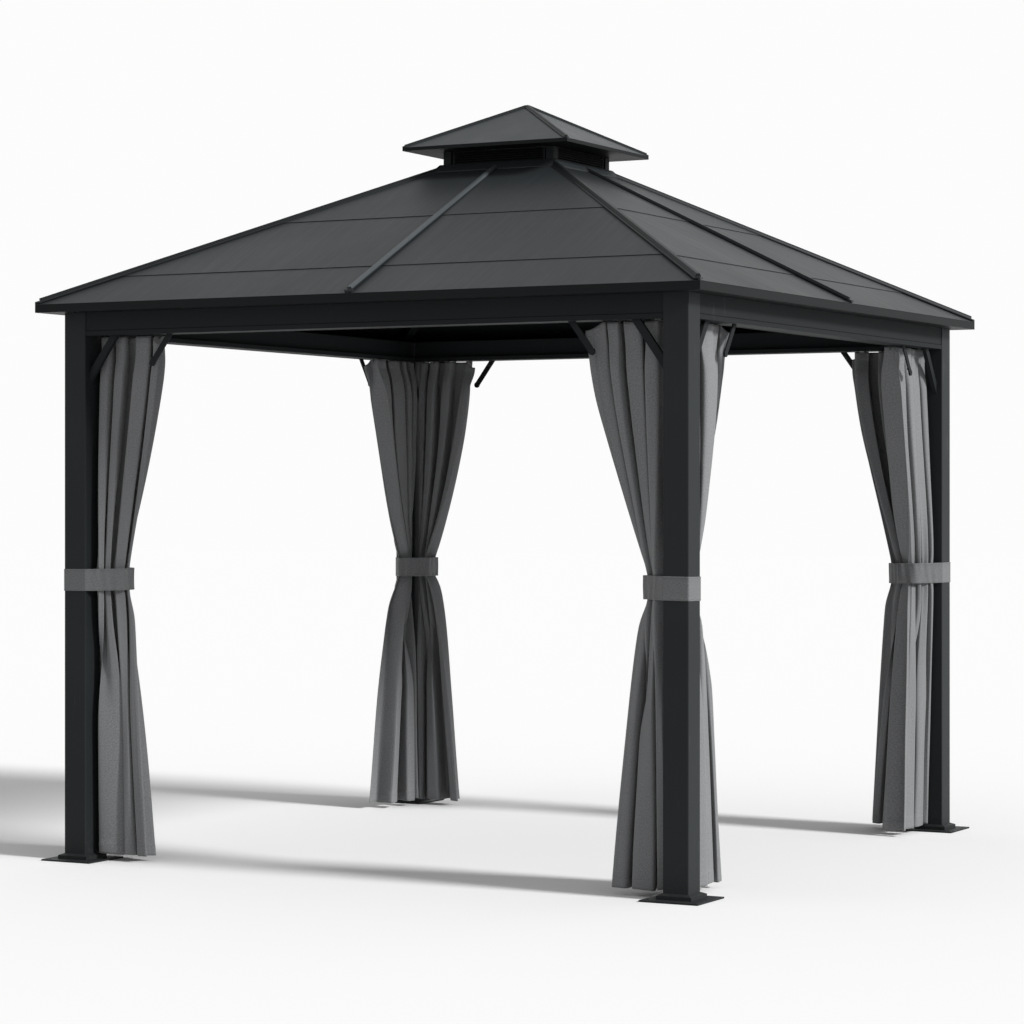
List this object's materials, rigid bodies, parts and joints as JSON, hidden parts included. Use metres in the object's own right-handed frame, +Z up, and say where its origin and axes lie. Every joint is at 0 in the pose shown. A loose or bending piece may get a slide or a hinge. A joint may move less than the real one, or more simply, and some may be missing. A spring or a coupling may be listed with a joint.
{
  "type": "square hardtop gazebo",
  "caption": "Square metal garden gazebo: four posts on base plates, a hipped sheet roof with a vented lantern and top roof, and tied-back curtains at each post.",
  "frame": {"origin": "on the ground, under the middle of the roof", "axes": "+Z up, +X to the right along the front side, +Y to the back"},
  "size_m": [3.0084, 3.0084, 3.1888],
  "materials": {
    "frame_coat": "satin powder coat",
    "roof_sheet": "matt powder coat",
    "trim_coat": "satin powder coat",
    "louvre_coat": "matt powder coat",
    "curtain_cloth": "woven polyester",
    "band_cloth": "woven polyester"
  },
  "bodies": {
    "root": {"post_front_left": "frame_coat", "post_front_right": "frame_coat", "post_back_right": "frame_coat", "post_back_left": "frame_coat", "foot_front_left": "frame_coat", "foot_front_right": "frame_coat", "foot_back_right": "frame_coat", "foot_back_left": "frame_coat", "beam_front": "frame_coat", "beam_right": "frame_coat", "beam_back": "frame_coat", "beam_left": "frame_coat", "curtain_track_front": "frame_coat", "curtain_track_right": "frame_coat", "curtain_track_back": "frame_coat", "curtain_track_left": "frame_coat", "braces_front_left": "frame_coat", "braces_front_right": "frame_coat", "braces_back_right": "frame_coat", "braces_back_left": "frame_coat", "fascia": "frame_coat", "rafters": "frame_coat", "lap_rails": "frame_coat", "roof_front": "roof_sheet", "roof_right": "roof_sheet", "roof_back": "roof_sheet", "roof_left": "roof_sheet", "roof_caps": "trim_coat", "lantern_frame": "frame_coat", "lantern_louvres": "louvre_coat", "top_fascia": "frame_coat", "top_rafters": "frame_coat", "top_roof": "roof_sheet", "curtain_front_left_front": "curtain_cloth", "curtain_front_right_front": "curtain_cloth", "curtain_back_right_back": "curtain_cloth", "curtain_back_left_back": "curtain_cloth", "curtain_front_left_side": "curtain_cloth", "curtain_front_right_side": "curtain_cloth", "curtain_back_right_side": "curtain_cloth", "curtain_back_left_side": "curtain_cloth", "tie_band_front_left": "band_cloth", "tie_band_front_right": "band_cloth", "tie_band_back_right": "band_cloth", "tie_band_back_left": "band_cloth"}
  },
  "joints": []
}
